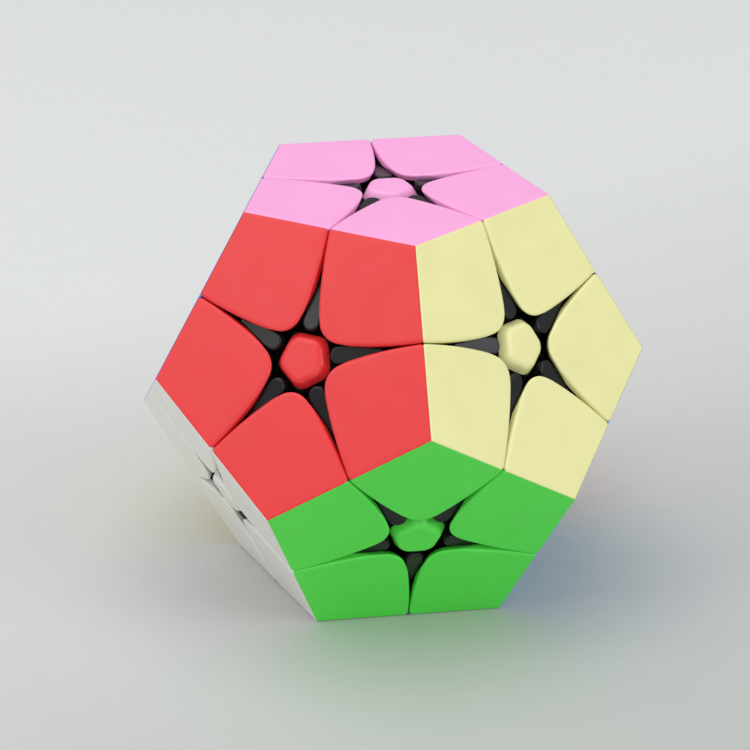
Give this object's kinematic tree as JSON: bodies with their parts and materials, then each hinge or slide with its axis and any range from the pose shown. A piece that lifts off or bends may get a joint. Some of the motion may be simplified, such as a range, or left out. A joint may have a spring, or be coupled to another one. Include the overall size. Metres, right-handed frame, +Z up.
{
  "type": "dodecahedron twisty puzzle",
  "caption": "Dodecahedron twisty puzzle whose faces turn: three-coloured corner pieces and small pentagonal centre caps on a sprung core.",
  "frame": {"origin": "centre of the core, where the twelve turning axes meet", "axes": "+Z up through the centre of the pink face, -Y towards the front, which the green face looks at"},
  "size_m": [0.0786, 0.0826, 0.0668],
  "materials": {
    "pink": "satin",
    "red": "satin",
    "cream": "satin",
    "grey": "satin",
    "lime": "satin",
    "blue": "satin",
    "green": "satin",
    "light_blue": "satin",
    "orange": "satin",
    "yellow": "satin",
    "white": "satin",
    "purple": "satin",
    "black_plastic": "satin",
    "steel": "bright"
  },
  "bodies": {
    "core_frame": {"centre_base_blue": "black_plastic", "centre_base_cream": "black_plastic", "centre_base_grey": "black_plastic", "centre_base_light_blue": "black_plastic", "centre_base_lime": "black_plastic", "centre_base_orange": "black_plastic", "centre_base_purple": "black_plastic", "centre_base_red": "black_plastic", "centre_base_white": "black_plastic", "centre_cap_blue": "blue", "centre_cap_cream": "cream", "centre_cap_grey": "grey", "centre_cap_light_blue": "light_blue", "centre_cap_lime": "lime", "centre_cap_orange": "orange", "centre_cap_purple": "purple", "centre_cap_red": "red", "centre_cap_white": "white", "core_lower_half": "black_plastic", "core_upper_half": "black_plastic", "corner_cream_grey_light_blue": "cream", "corner_grey_light_blue_orange": "grey", "corner_grey_lime_orange": "grey", "corner_light_blue_orange_purple": "light_blue", "corner_red_blue_white": "red", "hidden_edges_fixed_layer": "black_plastic", "spring_washers": "steel", "tension_screws": "steel", "tension_springs": "steel"},
    "pink_layer": {"centre_base_pink": "black_plastic", "centre_cap_pink": "pink", "corner_pink_cream_grey": "pink", "corner_pink_grey_lime": "pink", "corner_pink_lime_blue": "pink", "corner_pink_red_blue": "pink", "corner_pink_red_cream": "pink", "hidden_edges_pink_layer": "black_plastic"},
    "green_layer": {"centre_base_green": "black_plastic", "centre_cap_green": "green", "corner_cream_green_light_blue": "cream", "corner_green_light_blue_purple": "green", "corner_green_white_purple": "green", "corner_red_cream_green": "red", "corner_red_green_white": "red", "hidden_edges_green_layer": "black_plastic"},
    "yellow_layer": {"centre_base_yellow": "black_plastic", "centre_cap_yellow": "yellow", "corner_blue_yellow_white": "blue", "corner_lime_blue_yellow": "lime", "corner_lime_orange_yellow": "lime", "corner_orange_yellow_purple": "orange", "corner_yellow_white_purple": "yellow", "hidden_edges_yellow_layer": "black_plastic"}
  },
  "joints": [
    {"name": "pink_layer_turn", "type": "hinge", "parent": "core_frame", "child": "pink_layer", "pos_m": [0, 0, 0], "axis": [0, 0, 1], "continuous": true},
    {"name": "green_layer_turn", "type": "hinge", "parent": "core_frame", "child": "green_layer", "pos_m": [0, 0, 0], "axis": [0, -0.8944, -0.4472], "continuous": true},
    {"name": "yellow_layer_turn", "type": "hinge", "parent": "core_frame", "child": "yellow_layer", "pos_m": [0, 0, 0], "axis": [-0.5257, 0.7236, -0.4472], "continuous": true}
  ]
}
